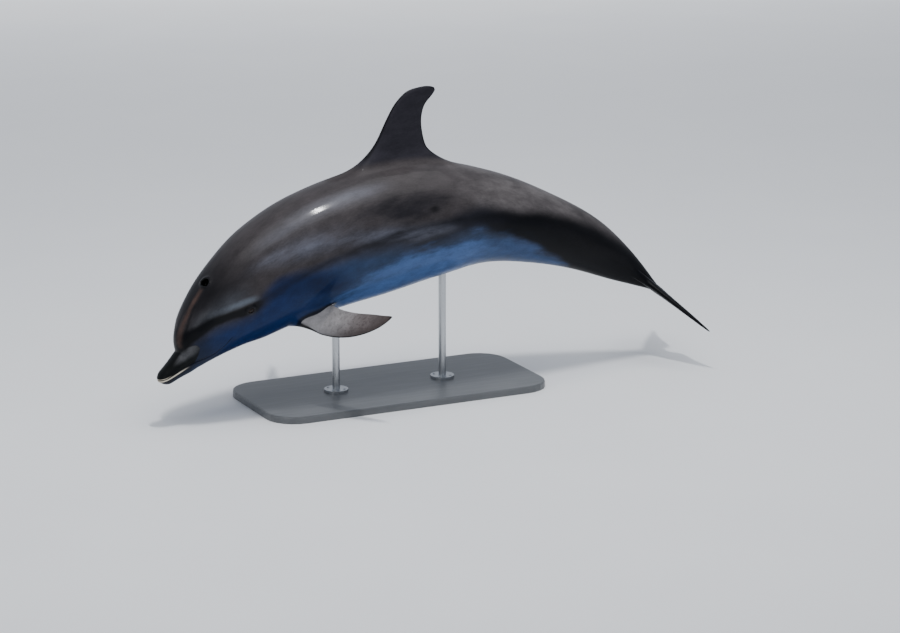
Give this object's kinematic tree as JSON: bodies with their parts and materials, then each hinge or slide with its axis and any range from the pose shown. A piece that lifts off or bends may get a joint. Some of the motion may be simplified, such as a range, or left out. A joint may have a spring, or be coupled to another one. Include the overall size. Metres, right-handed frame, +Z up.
{
  "type": "bottlenose dolphin display model",
  "caption": "Life-size bottlenose dolphin in mid leap, nose down and back arched, held over a flat base by short rods.",
  "frame": {"origin": "centre of the underside of the stand's base, on the floor", "axes": "+X from head to tail along the base, +Z up, -Y to the animal's left side"},
  "size_m": [2.372, 0.8992, 1.2224],
  "materials": {
    "back_skin": "wet glossy dark brown-grey skin",
    "flank_skin": "wet glossy mid grey skin, pale underneath",
    "fin_skin": "wet glossy dark grey skin",
    "flipper_skin": "wet glossy pale grey skin with dark edges",
    "eye": "polished, near black",
    "blowhole": "dark and wet",
    "stand_plate": "satin dark grey lacquer on board",
    "stand_steel": "brushed"
  },
  "bodies": {
    "root": {"beak_upper": "back_skin", "lower_jaw": "back_skin", "head": "back_skin", "chest": "flank_skin", "trunk": "flank_skin", "loin": "flank_skin", "tail_stock": "back_skin", "dorsal_fin": "fin_skin", "flipper_left": "flipper_skin", "flipper_right": "flipper_skin", "fluke_left": "fin_skin", "fluke_right": "fin_skin", "eye_left": "eye", "eye_right": "eye", "blowhole": "blowhole", "stand_base": "stand_plate", "stand_rod_front": "stand_steel", "stand_rod_rear": "stand_steel", "stand_flange_front": "stand_steel", "stand_flange_rear": "stand_steel"}
  },
  "joints": []
}
